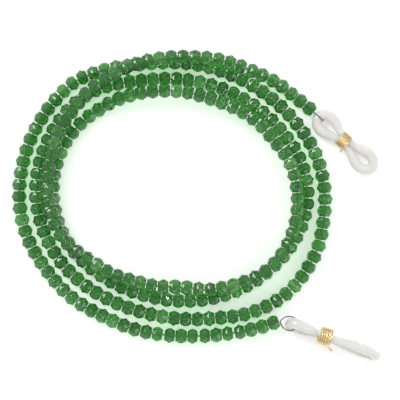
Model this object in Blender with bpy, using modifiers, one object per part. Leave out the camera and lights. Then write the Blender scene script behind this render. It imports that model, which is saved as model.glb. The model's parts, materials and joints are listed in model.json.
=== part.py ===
"""Eyeglass retainer strap: a long strand of faceted glass rondelles on a cord, laid down as a
loose coil of nearly four turns.  Each end has a wire eye, a figure-of-eight rubber temple loop
and a coil spring round the loop's waist.

Lengths are millimetres, scaled to metres when the objects are made.  +Z is up and the table is
z = 0.  Both ends leave the coil on its +X side and their loops reach towards +X, -Y.  The strand
is laid about the coil's centre; at the end everything moves so that the origin is the middle of
the whole footprint."""

import math
from types import SimpleNamespace

import bmesh
import bpy
import numpy as np
from mathutils import Matrix, Vector

MM = 0.001

# ---- beads and cord -------------------------------------------------------------------------
BEAD_R = 2.08  # girdle, corner radius
BEAD_SIDES = 8
BEAD_PITCH = 3.05  # nominal spacing along the cord
FACE_R = 1.42  # flat round the bore at a run's ends
VALLEY_R = 1.50  # where two beads of a run meet
GIRDLE_HALF = 0.30  # half height of the end beads' girdle band
BORE_R = 0.62
CORD_R = 0.28
CORD_END = 0.95  # the cord stops this far short of the end beads' centres
RUN_GAP = 0.12  # between two runs of the coil
HINGE_GAP = 0.48  # between two links of a tail
GROUND = BEAD_R * math.cos(math.pi / BEAD_SIDES)  # a bead resting on a girdle facet

# beads in each link, in order along the strand
TAIL_A = (2, 2, 2)  # from the free end to the coil
TAIL_B = (3, 3, 3)  # from the coil to the free end
COIL_RUNS = 20

# ---- crimps, eyes, springs ------------------------------------------------------------------
CRIMP_R = 0.44
CRIMP_SIDES = 10
CRIMP_START = -0.85  # from the end bead's centre, positive outwards
CRIMP_SHARP_ANGLE = math.radians(40)
EYE_WIRE_R = 0.18
SPRING_STEPS = 13  # in one turn
SPRING_ROUND = 0.70  # exponent: 1 would be an ellipse; less fills the corners

# ---- the two ends ---------------------------------------------------------------------------
# loop: distance from the outer tip, half width of the centre-line, cord radius
# eye_near: half outline, distance from the eye's origin and half width
# eye_far: the rest of it, distance past the loop's tip bar and half width
# free_end: the spring wire's loose end, as steps from its last turn
END_A = SimpleNamespace(
    letter="a",
    crimp_stop=1.40,
    eye_out=1.45,  # end bead's centre to the eye's origin
    eye_roll=math.pi / 2,  # upright
    eye_near=((0.26, 0.00), (0.28, 0.60), (0.52, 1.14), (1.05, 1.46)),
    eye_far=((0.00, 1.55), (0.80, 1.42), (1.40, 0.92), (1.60, 0.00)),
    loop_yaw=math.radians(-43.7),
    loop_dip=math.radians(1.5),
    loop_roll=0.0,  # lying flat
    loop_lift=0.0,  # above the tip bar's place in the eye
    loop=(
        (1.30, 0.00, 1.30), (1.48, 0.85, 1.32), (2.10, 1.60, 1.36), (3.10, 2.05, 1.41),
        (4.20, 2.16, 1.42), (5.40, 2.00, 1.36), (6.50, 1.60, 1.22), (7.40, 1.18, 1.04),
        (8.20, 0.93, 0.87), (9.20, 0.92, 0.86), (10.4, 0.92, 0.86), (11.8, 0.92, 0.86),
        (12.9, 0.95, 0.89), (13.9, 1.18, 1.10), (15.0, 1.50, 1.34), (16.2, 1.96, 1.42),
        (17.5, 2.18, 1.40), (18.6, 2.02, 1.36), (19.6, 1.46, 1.33), (20.22, 0.76, 1.31),
        (20.38, 0.00, 1.30),
    ),
    spring_from_tip=10.2,
    spring=dict(
        turns=4.33,
        half_width=2.10,
        half_height=1.24,
        length=2.36,
        wire_r=0.205,
        free_end=((0.05, -0.50, -0.08), (0.12, -1.05, -0.16), (0.22, -1.60, -0.30)),
    ),
)
END_B = SimpleNamespace(
    letter="b",
    crimp_stop=1.42,
    eye_out=1.47,
    eye_roll=0.0,  # level across
    eye_near=((0.44, 0.00), (0.55, 0.36), (1.00, 0.98), (1.75, 1.56)),
    eye_far=((0.00, 1.84), (0.95, 1.60), (1.62, 0.98), (1.86, 0.00)),
    loop_yaw=math.radians(-20.4),
    loop_dip=math.radians(1.2),
    loop_roll=math.radians(75.0),  # nearly on its edge
    loop_lift=0.42,
    loop=(
        (1.38, 0.00, 1.38), (1.55, 0.90, 1.38), (2.15, 1.70, 1.38), (3.20, 2.20, 1.38),
        (4.40, 2.30, 1.36), (5.60, 2.08, 1.30), (6.70, 1.62, 1.16), (7.60, 1.17, 1.00),
        (8.30, 0.93, 0.87), (9.60, 0.92, 0.86), (11.2, 0.92, 0.86), (12.8, 0.92, 0.86),
        (14.2, 0.94, 0.88), (15.6, 1.18, 1.03), (17.1, 1.52, 1.18), (19.0, 1.95, 1.26),
        (21.2, 2.18, 1.28), (23.0, 2.02, 1.28), (24.3, 1.45, 1.27), (24.95, 0.76, 1.26),
        (25.14, 0.00, 1.26),
    ),
    spring_from_tip=11.05,
    spring=dict(
        turns=5.33,
        half_width=2.20,
        half_height=2.25,
        length=3.20,
        wire_r=0.235,
        free_end=((0.30, -0.36, -0.02), (0.85, -0.55, 0.16), (1.45, -0.60, 0.34)),
    ),
)
# where the loops hang in the eyes
HANG_A_OUT = 1.75  # from end bead A along the strand's end
HANG_A_ALONG = 1.55  # and then along the loop
HANG_B_XY = (30.39, -33.36)
HANG_B_RISE = 0.10  # above the eye's origin

# ---- the lay of the strand ------------------------------------------------------------------
# winding angle in degrees, radius, height above a bead's resting height
LAY = (
    # the first turn climbs onto the others and swings inwards across them
    (32.4, 42.0, 0.0), (40, 40.4, 0.2), (50, 39.0, 1.9), (60, 37.8, 3.4), (70, 37.0, 4.0),
    (80, 36.1, 4.2), (95, 35.4, 4.3), (110, 35.0, 4.4), (130, 34.4, 4.2), (150, 33.6, 4.0),
    (170, 32.8, 4.2), (190, 31.6, 4.4), (200, 30.6, 4.4), (210, 28.9, 4.3), (220, 27.0, 4.1),
    (230, 26.0, 3.9), (240, 25.0, 3.4), (250, 24.2, 3.1), (260, 24.0, 3.1), (270, 23.7, 3.2),
    (280, 24.4, 3.3), (290, 26.1, 3.6), (300, 27.5, 4.0), (310, 29.2, 4.3), (320, 31.0, 4.4),
    (330, 32.0, 4.4), (345, 32.5, 4.1),
    # the second comes down to the table by 500 degrees
    (360, 32.3, 3.4), (375, 31.5, 3.2), (390, 29.6, 3.2), (400, 29.0, 3.2), (410, 28.1, 3.1),
    (420, 27.2, 3.1), (432, 26.7, 3.1), (445, 26.9, 3.1), (460, 27.3, 3.1), (470, 28.0, 2.5),
    (480, 28.7, 1.5), (490, 29.3, 0.5), (500, 30.2, 0.0), (515, 31.2, 0.0), (530, 31.4, 0.0),
    (545, 31.1, 0.0), (560, 30.4, 0.0), (575, 29.1, 0.0), (590, 27.9, 0.0), (605, 27.2, 0.0),
    (620, 27.1, 0.0), (635, 27.6, 0.0), (650, 28.6, 0.0), (665, 30.0, 0.0), (680, 31.5, 0.0),
    (695, 33.2, 0.0), (710, 34.6, 0.0),
    # the third lies on the table
    (720, 35.0, 0.0), (735, 34.3, 0.0), (750, 33.0, 0.0), (765, 31.9, 0.0), (780, 30.7, 0.0),
    (795, 30.1, 0.0), (810, 30.2, 0.0), (820, 30.5, 0.0), (830, 31.2, 0.0), (840, 33.0, 0.0),
    (850, 34.3, 0.0), (860, 35.0, 0.0), (880, 35.6, 0.0), (900, 35.6, 0.0), (915, 34.9, 0.0),
    (930, 34.0, 0.0), (945, 32.8, 0.0), (960, 31.8, 0.0), (975, 31.5, 0.0), (990, 32.0, 0.0),
    (1000, 32.8, 0.0), (1010, 34.0, 0.0), (1020, 36.0, 0.0), (1030, 37.8, 0.0),
    (1040, 39.2, 0.0), (1050, 39.8, 0.0), (1060, 40.1, 0.0), (1070, 39.7, 0.0),
    # the last runs outside the third, and its end lifts off the table
    (1080, 39.5, 0.0), (1090, 39.0, 0.0), (1100, 38.2, 0.0), (1110, 36.9, 0.0),
    (1120, 36.0, 0.0), (1130, 35.3, 0.0), (1145, 34.7, 0.0), (1160, 34.5, 0.0),
    (1170, 34.5, 0.0), (1180, 34.8, 0.0), (1190, 35.6, 0.0), (1200, 37.1, 0.0),
    (1210, 38.9, 0.0), (1221, 39.3, 0.0), (1240, 39.6, 0.0), (1260, 40.0, 0.0),
    (1275, 39.5, 0.0), (1290, 38.3, 0.0), (1305, 37.5, 0.0), (1320, 36.4, 0.0),
    (1335, 36.3, 0.0), (1345, 36.4, 0.0), (1357, 37.0, 0.0), (1370, 38.5, 0.3),
    (1380, 40.4, 0.9), (1388.2, 42.2, 1.4),
)
LAY_SAMPLES = 1100
LAY_SPACING = 2 * BEAD_R + 0.10  # least distance between two turns
LAY_ROUNDS = 460
OTHER_TURN = 180.0  # degrees of winding that separate one turn from another
PAIR_REFRESH = 10  # rounds between searches for close pairs
PAIR_MARGIN = 1.2  # the search reaches this far beyond LAY_SPACING
PUSH = 1.3  # share of an overlap put right in one round
STIFFNESS = 0.25
LATE_STIFFNESS = 0.05  # in the last LATE_ROUNDS, so that contact wins
LATE_ROUNDS = 60
RECALL = 0.02  # pull back towards the drawn lay
TANGENT_REACH = 0.8  # the strand's direction is taken over this length each way


# ---- the strand's centre-line ---------------------------------------------------------------
def smooth_stations(table, count):
    """Cubic Hermite through the stations, evenly sampled in winding angle."""
    stations = np.array(table, float)
    angle, value = stations[:, 0], stations[:, 1:]
    samples = np.linspace(angle[0], angle[-1], count)
    step = np.diff(angle)
    rise = np.diff(value, axis=0) / step[:, None]
    slope = np.zeros_like(value)
    weighted = rise[1:] * step[:-1, None] + rise[:-1] * step[1:, None]
    slope[1:-1] = weighted / (angle[2:] - angle[:-2])[:, None]
    slope[0], slope[-1] = rise[0], rise[-1]
    k = np.clip(np.searchsorted(angle, samples, side="right") - 1, 0, len(angle) - 2)
    t = ((samples - angle[k]) / step[k])[:, None]
    span = step[k][:, None]
    smooth = (
        (2 * t**3 - 3 * t**2 + 1) * value[k]
        + (t**3 - 2 * t**2 + t) * span * slope[k]
        + (-2 * t**3 + 3 * t**2) * value[k + 1]
        + (t**3 - t**2) * span * slope[k + 1]
    )
    return samples, smooth[:, 0], smooth[:, 1] + GROUND


def push_apart(points, one, two):
    """Move the paired points that are too close away from each other, in place."""
    between = points[one] - points[two]
    distance = np.linalg.norm(between, axis=1)
    hit = distance < LAY_SPACING
    if not hit.any():
        return
    overlap = (LAY_SPACING - distance[hit])[:, None]
    push = 0.5 * overlap * between[hit] / np.maximum(distance[hit], 1e-6)[:, None]
    total, count = np.zeros_like(points), np.zeros(len(points))
    np.add.at(total, one[hit], push)
    np.add.at(total, two[hit], -push)
    np.add.at(count, one[hit], 1)
    np.add.at(count, two[hit], 1)
    points += PUSH * total / np.maximum(count, 1)[:, None]


def off_midpoint(values):
    """From each row to the midpoint of its neighbours; zero at both ends."""
    out = np.zeros_like(values)
    out[1:-1] = (values[2:] + values[:-2]) / 2 - values[1:-1]
    return out


def lay_down():
    """The laid strand: turns that come too close push each other apart until they only touch,
    a stiffness keeps the curve fair, and nothing sinks below its resting height."""
    angle, radius, z = smooth_stations(LAY, LAY_SAMPLES)
    turned = np.radians(angle)
    points = np.stack([radius * np.cos(turned), radius * np.sin(turned), z], 1)
    drawn = points.copy()
    other_turn = np.abs(angle[:, None] - angle[None, :]) > OTHER_TURN
    for step in range(LAY_ROUNDS):
        if step % PAIR_REFRESH == 0:
            apart = np.linalg.norm(points[:, None] - points[None], axis=2)
            one, two = np.nonzero((apart < LAY_SPACING + PAIR_MARGIN) & other_turn)
            keep = one < two
            one, two = one[keep], two[keep]
        push_apart(points, one, two)
        fair = off_midpoint(off_midpoint(points))
        stiffness = STIFFNESS if step < LAY_ROUNDS - LATE_ROUNDS else LATE_STIFFNESS
        points[2:-2] -= stiffness * fair[2:-2]
        points += RECALL * (drawn - points)
        points[:, 2] = np.maximum(points[:, 2], GROUND)
    return points


class Strand:
    """The centre-line by arc length from the free end of tail A, with a bead at each end."""

    def __init__(self, points):
        self.points = points
        steps = np.linalg.norm(np.diff(points, axis=0), axis=1)
        self.arc = np.concatenate([[0.0], np.cumsum(steps)])
        self.length = float(self.arc[-1])
        self.beads = round(self.length / BEAD_PITCH) + 1
        self.pitch = self.length / (self.beads - 1)

    def at(self, s):
        return np.array([np.interp(s, self.arc, self.points[:, i]) for i in range(3)])

    def tangent(self, s):
        before = max(s - TANGENT_REACH, 0.0)
        after = min(s + TANGENT_REACH, self.length)
        return unit(self.at(after) - self.at(before))

    def after(self, bead):
        """The arc length halfway from this bead to the next."""
        return (bead + 0.5) * self.pitch


def unit(vector):
    return vector / np.linalg.norm(vector)


def square_to(axis):
    """Two directions square to axis: one level, one as near upright as it can be."""
    side = unit(np.cross([0.0, 0.0, 1.0], axis))
    return side, np.cross(axis, side)


def rotation_to(axis, turn):
    """The rotation that takes Z to axis, with X turned from the level direction by turn."""
    side, up = square_to(axis)
    x = math.cos(turn) * side + math.sin(turn) * up
    return Matrix((x, np.cross(axis, x), axis)).transposed().to_euler()


# ---- scene and materials --------------------------------------------------------------------
for old in list(bpy.data.objects):
    bpy.data.objects.remove(old, do_unlink=True)

PARTS = bpy.data.collections.new("eyeglass_retainer_strap")
bpy.context.scene.collection.children.link(PARTS)


def material(name, colour, metallic=0.0, roughness=0.4, transmission=0.0, ior=1.5):
    mat = bpy.data.materials.new(name)
    mat.use_nodes = True
    inputs = mat.node_tree.nodes["Principled BSDF"].inputs
    inputs["Base Color"].default_value = colour
    inputs["Metallic"].default_value = metallic
    inputs["Roughness"].default_value = roughness
    inputs["Transmission Weight"].default_value = transmission
    inputs["IOR"].default_value = ior
    mat.diffuse_color = colour
    return mat


GLASS = material(
    "green_glass", colour=(0.05, 0.42, 0.09, 1.0), roughness=0.04, transmission=0.85, ior=1.52
)
CORD = material("dark_cord", colour=(0.06, 0.07, 0.06, 1.0), roughness=0.6)
RUBBER = material(
    "clear_rubber", colour=(0.86, 0.88, 0.89, 1.0), roughness=0.25, transmission=0.3, ior=1.41
)
GOLD = material(
    "gold_spring_wire", colour=(0.83, 0.62, 0.25, 1.0), metallic=1.0, roughness=0.22
)
SILVER = material("dark_wire", colour=(0.30, 0.31, 0.32, 1.0), metallic=1.0, roughness=0.3)


# ---- objects --------------------------------------------------------------------------------
def place(name, data, origin, mat):
    """An object whose origin stands at the given point, in millimetres."""
    data.materials.append(mat)
    ob = bpy.data.objects.new(name, data)
    ob.location = Vector(np.array(origin, float) * MM)
    PARTS.objects.link(ob)
    return ob


def bar(name, points, radii, origin, mat, resolution=1, closed=False):
    """A round bar along the points, as a bevelled curve; radii is one radius or one a point."""
    data = bpy.data.curves.new(name, "CURVE")
    data.dimensions = "3D"
    data.bevel_depth = MM
    data.bevel_resolution = resolution
    data.use_fill_caps = not closed
    line = data.splines.new("POLY")
    line.points.add(len(points) - 1)
    local = (np.array(points, float) - np.array(origin, float)) * MM
    for vertex, co, radius in zip(line.points, local, np.broadcast_to(radii, len(points))):
        vertex.co = (*co, 1.0)
        vertex.radius = float(radius)
    line.use_cyclic_u = closed
    line.use_smooth = True
    return place(name, data, origin, mat)


# ---- beads and cord -------------------------------------------------------------------------
def bead_ring(strand, s, radius):
    """A polygon round the cord, with one of its flats undermost."""
    side, up = square_to(strand.tangent(s))
    angle = math.pi / BEAD_SIDES + 2 * math.pi * np.arange(BEAD_SIDES) / BEAD_SIDES
    return strand.at(s) + radius * (np.cos(angle)[:, None] * side + np.sin(angle)[:, None] * up)


def drilled_loft(outer, inner):
    """Quads along the outer rings and the bore's rings, joined by a flat face at each end."""
    n = len(outer[0])
    bore = len(outer) * n
    faces = []

    def span(a, b):
        faces.extend((a + k, a + (k + 1) % n, b + (k + 1) % n, b + k) for k in range(n))

    for i in range(len(outer) - 1):
        span(i * n, (i + 1) * n)
    for i in range(len(inner) - 1):
        span(bore + (i + 1) * n, bore + i * n)
    span(bore, 0)
    span(bore - n, bore + (len(inner) - 1) * n)
    return np.concatenate(outer + inner), faces


def bore_kinks(strand, first, last):
    """Where a run's bore turns: between all its beads in a short run, every second in a long."""
    every = 1 if last - first < 3 else 2
    return [strand.after(k) for k in range(first + every - 1, last, every)]


def bead_run(name, strand, first, last, gap_before, gap_after, origin):
    """Beads first..last threaded face to face, drilled through along the cord."""
    start = strand.after(first - 1) + gap_before / 2
    stop = strand.after(last) - gap_after / 2
    outer = [bead_ring(strand, start, FACE_R)]
    for k in range(first, last + 1):
        outer.append(bead_ring(strand, k * strand.pitch, BEAD_R))
        if k < last:
            outer.append(bead_ring(strand, strand.after(k), VALLEY_R))
    outer.append(bead_ring(strand, stop, FACE_R))
    kinks = [start] + bore_kinks(strand, first, last) + [stop]
    verts, faces = drilled_loft(outer, [bead_ring(strand, s, BORE_R) for s in kinks])

    mesh = bpy.data.meshes.new(name)
    mesh.from_pydata(((verts - np.array(origin, float)) * MM).tolist(), [], faces)
    bm = bmesh.new()
    bm.from_mesh(mesh)
    bmesh.ops.recalc_face_normals(bm, faces=bm.faces)
    bm.to_mesh(mesh)
    bm.free()
    place(name, mesh, origin, GLASS)


def cord_piece(name, strand, stations, origin):
    bar(name, [strand.at(s) for s in stations], CORD_R, origin, CORD)


def build_coil(strand, coil_first, coil_last):
    """The coil's bead runs on one unbroken cord."""
    origin = (0, 0, 0)
    count = coil_last + 1 - coil_first
    bounds = [coil_first + round(count * i / COIL_RUNS) for i in range(COIL_RUNS + 1)]
    cord = [strand.after(coil_first - 1) + HINGE_GAP / 2]
    for i in range(COIL_RUNS):
        first, last = bounds[i], bounds[i + 1] - 1
        before = HINGE_GAP if i == 0 else RUN_GAP
        after = HINGE_GAP if i == COIL_RUNS - 1 else RUN_GAP
        bead_run(f"bead_run_{i + 1:02d}", strand, first, last, before, after, origin)
        cord += bore_kinks(strand, first, last)
        if i < COIL_RUNS - 1:
            cord.append(strand.after(last))
    cord.append(strand.after(coil_last) - HINGE_GAP / 2)
    cord_piece("cord_coil", strand, cord, origin)


def split_links(first, sizes):
    """First and last bead of each link, along the strand."""
    links = []
    for size in sizes:
        links.append((first, first + size - 1))
        first += size
    return links


def build_tail(letter, strand, links, at_start):
    """A tail's links, from the coil outwards; each has its origin in the gap on its coil side."""
    for number, (first, last) in enumerate(links, 1):
        outermost = number == len(links)
        outer_gap = RUN_GAP if outermost else HINGE_GAP
        start = strand.after(first - 1) + HINGE_GAP / 2
        stop = strand.after(last) - HINGE_GAP / 2
        if at_start:
            origin = strand.at(strand.after(last))
            gaps = (outer_gap, HINGE_GAP)
            start = CORD_END if outermost else start
        else:
            origin = strand.at(strand.after(first - 1))
            gaps = (HINGE_GAP, outer_gap)
            stop = strand.length - CORD_END if outermost else stop
        bead_run(f"tail_{letter}_beads_{number}", strand, first, last, *gaps, origin)
        cord = [start] + bore_kinks(strand, first, last) + [stop]
        cord_piece(f"tail_{letter}_cord_{number}", strand, cord, origin)


# ---- end pieces -----------------------------------------------------------------------------
def end_bead(name, centre, axis, pitch):
    """A single rondelle with a flat-faceted girdle band, bored for the crimp: a turned profile."""
    half = (pitch - RUN_GAP) / 2
    # radius, height along the axis
    profile = (
        (BORE_R, half), (FACE_R, half), (BEAD_R, GIRDLE_HALF),
        (BEAD_R, -GIRDLE_HALF), (FACE_R, -half), (BORE_R, -half),
    )
    n = len(profile)
    mesh = bpy.data.meshes.new(name)
    verts = [(x * MM, 0.0, z * MM) for x, z in profile]
    mesh.from_pydata(verts, [(i, (i + 1) % n) for i in range(n)], [])
    ob = place(name, mesh, centre, GLASS)
    ob.rotation_euler = rotation_to(axis, math.pi / BEAD_SIDES)
    turned = ob.modifiers.new("turned", "SCREW")
    turned.axis = "Z"
    turned.angle = 2 * math.pi
    turned.steps = BEAD_SIDES
    turned.render_steps = BEAD_SIDES
    turned.use_merge_vertices = True
    turned.merge_threshold = 0.00002
    turned.use_smooth_shade = False


def crimp(name, centre, axis, stop):
    """A round barrel with closed ends, through the end bead's bore and out beyond it."""
    bm = bmesh.new()
    bmesh.ops.create_cone(
        bm,
        cap_ends=True,
        segments=CRIMP_SIDES,
        radius1=CRIMP_R * MM,
        radius2=CRIMP_R * MM,
        depth=(stop - CRIMP_START) * MM,
        matrix=Matrix.Translation((0.0, 0.0, (CRIMP_START + stop) / 2 * MM)),
    )
    mesh = bpy.data.meshes.new(name)
    bm.to_mesh(mesh)
    bm.free()
    mesh.shade_smooth()
    mesh.set_sharp_from_angle(angle=CRIMP_SHARP_ANGLE)
    ob = place(name, mesh, centre, SILVER)
    ob.rotation_euler = rotation_to(axis, 0.0)


class Frame:
    """A local frame: x along a loop or eye, y across it, z out of its plane.
    Yaw turns x about the upright, dip tips it down, roll turns y and z about x."""

    def __init__(self, origin, yaw, dip, roll):
        x = np.array([math.cos(yaw) * math.cos(dip), math.sin(yaw) * math.cos(dip), -math.sin(dip)])
        level = np.array([-math.sin(yaw), math.cos(yaw), 0.0])
        y = math.cos(roll) * level + math.sin(roll) * np.cross(x, level)
        self.axes = np.array([x, y, np.cross(x, y)])
        self.origin = np.array(origin, float)

    def out(self, local):
        """Local points, or one point, in the strand's coordinates."""
        return self.origin + np.array(local, float) @ self.axes


def closed_figure(half):
    """Catmull-Rom through a half outline and its mirror image, two points to a span.
    The second column is mirrored; the first and last rows lie on the mirror line."""
    upper = np.array(half, float)
    lower = upper[-2:0:-1].copy()
    lower[:, 1] *= -1
    control = np.concatenate([upper, lower])
    n = len(control)
    points = []
    for i in range(n):
        a, b, c, d = (control[(i + j) % n] for j in (-1, 0, 1, 2))
        for t in (0.0, 0.5):
            points.append(0.5 * (
                2 * b
                + (c - a) * t
                + (2 * a - 5 * b + 4 * c - d) * t * t
                + (3 * b - a - 3 * c + d) * t**3
            ))
    return np.array(points)


def wire_eye(end, eye_at, hang_at):
    """A closed ring of wire from the crimp to beyond the loop's tip bar."""
    lead = hang_at - eye_at
    reach = float(np.linalg.norm(lead))
    dip = -math.atan2(lead[2], math.hypot(lead[0], lead[1]))
    frame = Frame(eye_at, math.atan2(lead[1], lead[0]), dip, end.eye_roll)
    half = [*end.eye_near, *((reach + x, y) for x, y in end.eye_far)]
    flat = closed_figure(half)
    points = frame.out(np.c_[flat, np.zeros(len(flat))])
    bar(f"wire_eye_{end.letter}", points, EYE_WIRE_R, eye_at, SILVER, closed=True)


def rubber_loop(end, frame, origin):
    """The figure of eight; the centre-line of its tip bar passes through the frame's origin."""
    x, y, radii = closed_figure(end.loop).T
    points = frame.out(np.stack([x - end.loop[0][0], y, 0 * x], 1))
    bar(f"rubber_loop_{end.letter}", points, radii, origin, RUBBER, resolution=2, closed=True)


def coil_spring(
    name, frame, centre, turns, half_width, half_height, length, wire_r, free_end
):
    """An oval spring about local x, centred at x = centre, with a short free end of wire."""
    total = round(turns * SPRING_STEPS)
    points = []
    for i in range(total + 1):
        angle = 2 * math.pi * i / SPRING_STEPS
        across, upward = math.cos(angle), math.sin(angle)
        x = centre - length / 2 + length * i / total
        y = half_width * math.copysign(abs(across) ** SPRING_ROUND, across)
        z = half_height * math.copysign(abs(upward) ** SPRING_ROUND, upward)
        points.append((x, y, z))
    last = np.array(points[-1])
    points += [tuple(last + np.array(step)) for step in free_end]
    bar(name, frame.out(points), wire_r, frame.out((centre, 0, 0)), GOLD)


def build_end(end, bead_at, outward, eye_at, hang_at, pitch):
    """End bead, crimp, eye, loop and spring."""
    end_bead(f"end_bead_{end.letter}", bead_at, outward, pitch)
    crimp(f"crimp_{end.letter}", bead_at, outward, end.crimp_stop)
    wire_eye(end, eye_at, hang_at)
    lift = np.array([0.0, 0.0, end.loop_lift])
    frame = Frame(hang_at + lift, end.loop_yaw, end.loop_dip, end.loop_roll)
    rubber_loop(end, frame, hang_at)
    spring_x = end.spring_from_tip - end.loop[0][0]
    coil_spring(f"coil_spring_{end.letter}", frame, spring_x, **end.spring)


def build_end_a(strand):
    """At the start of the strand, its axis made level."""
    bead_at = strand.at(0.0)
    outward = -strand.tangent(0.0)
    outward[2] = 0.0
    outward = unit(outward)
    along = np.array([math.cos(END_A.loop_yaw), math.sin(END_A.loop_yaw), 0.0])
    eye_at = bead_at + END_A.eye_out * outward
    hang_at = bead_at + HANG_A_OUT * outward + HANG_A_ALONG * along
    build_end(END_A, bead_at, outward, eye_at, hang_at, strand.pitch)


def build_end_b(strand):
    """At the end of the strand, following its rise."""
    bead_at = strand.at(strand.length)
    outward = strand.tangent(strand.length)
    eye_at = bead_at + END_B.eye_out * outward
    hang_at = np.array([*HANG_B_XY, eye_at[2] + HANG_B_RISE])
    build_end(END_B, bead_at, outward, eye_at, hang_at, strand.pitch)


def centre_on_table():
    """Move everything so the origin is the middle of the footprint, on the table."""
    bpy.context.view_layer.update()
    graph = bpy.context.evaluated_depsgraph_get()
    corners = []
    for ob in PARTS.objects:
        seen = ob.evaluated_get(graph)
        mesh = seen.to_mesh()
        co = np.empty(3 * len(mesh.vertices))
        mesh.vertices.foreach_get("co", co)
        turn = np.array(ob.matrix_world.to_3x3())
        world = co.reshape(-1, 3) @ turn.T + np.array(ob.matrix_world.translation)
        corners += [world.min(0), world.max(0)]
        seen.to_mesh_clear()
    low, high = np.min(corners, axis=0), np.max(corners, axis=0)
    shift = -(low + high) / 2
    shift[2] = -low[2]
    for ob in PARTS.objects:
        ob.location += Vector(shift)


# ---- build ----------------------------------------------------------------------------------
def build():
    strand = Strand(lay_down())
    # beads 0 and strand.beads - 1 are the end beads
    coil_first = 1 + sum(TAIL_A)
    coil_last = strand.beads - 2 - sum(TAIL_B)
    build_coil(strand, coil_first, coil_last)
    build_tail("a", strand, split_links(1, TAIL_A)[::-1], at_start=True)
    build_tail("b", strand, split_links(coil_last + 1, TAIL_B), at_start=False)
    build_end_a(strand)
    build_end_b(strand)
    centre_on_table()


build()
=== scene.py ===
"""Looks of an eyeglass retainer strap: cut-glass rondelles on a twisted cord, coiled flat on the
table z = 0, with a jointed tail at each end.  Each tail (a, b) ends in a crimp, a wire eye and a
moulded rubber temple loop with a coil spring round its waist.  +Z is up and the camera looks
straight down.  Lengths are millimetres until a mesh is made; objects are in metres, in the
coordinates of the frame (the loaded CAD pieces).  Stage lengths are in metres."""

import json
import math

import bmesh
import bpy
import numpy as np
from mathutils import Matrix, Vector

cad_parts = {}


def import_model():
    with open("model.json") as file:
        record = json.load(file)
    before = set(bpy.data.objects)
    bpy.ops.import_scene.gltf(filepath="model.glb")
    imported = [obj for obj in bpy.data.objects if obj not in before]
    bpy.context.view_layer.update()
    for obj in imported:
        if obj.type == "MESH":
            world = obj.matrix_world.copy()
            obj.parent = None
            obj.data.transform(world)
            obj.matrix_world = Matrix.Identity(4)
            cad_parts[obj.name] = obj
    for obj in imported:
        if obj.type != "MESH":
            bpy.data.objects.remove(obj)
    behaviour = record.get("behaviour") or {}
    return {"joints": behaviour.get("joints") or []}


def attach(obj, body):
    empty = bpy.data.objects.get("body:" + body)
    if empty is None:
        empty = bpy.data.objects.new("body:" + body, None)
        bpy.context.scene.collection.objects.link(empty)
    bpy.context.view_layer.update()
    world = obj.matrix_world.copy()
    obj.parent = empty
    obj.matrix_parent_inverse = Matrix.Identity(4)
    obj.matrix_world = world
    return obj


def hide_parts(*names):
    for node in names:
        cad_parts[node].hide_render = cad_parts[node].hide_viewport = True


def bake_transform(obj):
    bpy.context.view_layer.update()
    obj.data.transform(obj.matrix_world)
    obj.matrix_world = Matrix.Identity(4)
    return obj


JOINTS = {joint["name"]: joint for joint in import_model()["joints"]}
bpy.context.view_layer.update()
MM = 0.001

# ---- driving sizes ----------------------------------------------------------------------------
BEAD_SIDES = 8
BEAD_R = 2.08  # girdle corners
CROWN_R = 1.83  # crown corners
FACE_R = 1.42  # corners of the flat face round the bore
BORE_R = 0.60
CROWN_HEIGHT = 0.44  # as a share of the half height
BEAD_HALF = 1.505  # half height where nothing crowds the bead
BEAD_HALF_AT_HINGE = 1.35
BEAD_HALF_AT_END = 1.44
HINGE_SHIFT = 0.065  # beads beside a hinge move this far away from it
BEAD_CLEARANCE = 0.02  # kept free on each side of a bead
TABLE_CLEARANCE = 0.004
BEAD_PITCH = 3.05  # nominal; the strand's length is shared out evenly
GROUND = BEAD_R * math.cos(math.pi / BEAD_SIDES)  # centre height of a bead at rest

CORD_R = 0.27
PLY_PITCH = 1.9
BEND_REACH = 0.62  # how far a bending cord runs along the strand on each side of a hinge
CORD_END_INSET = 0.70

LINKS = 3  # jointed links in each tail
LINK_BEADS_A = 2
LINK_BEADS_B = 3
COIL_RUNS = 20

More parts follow.
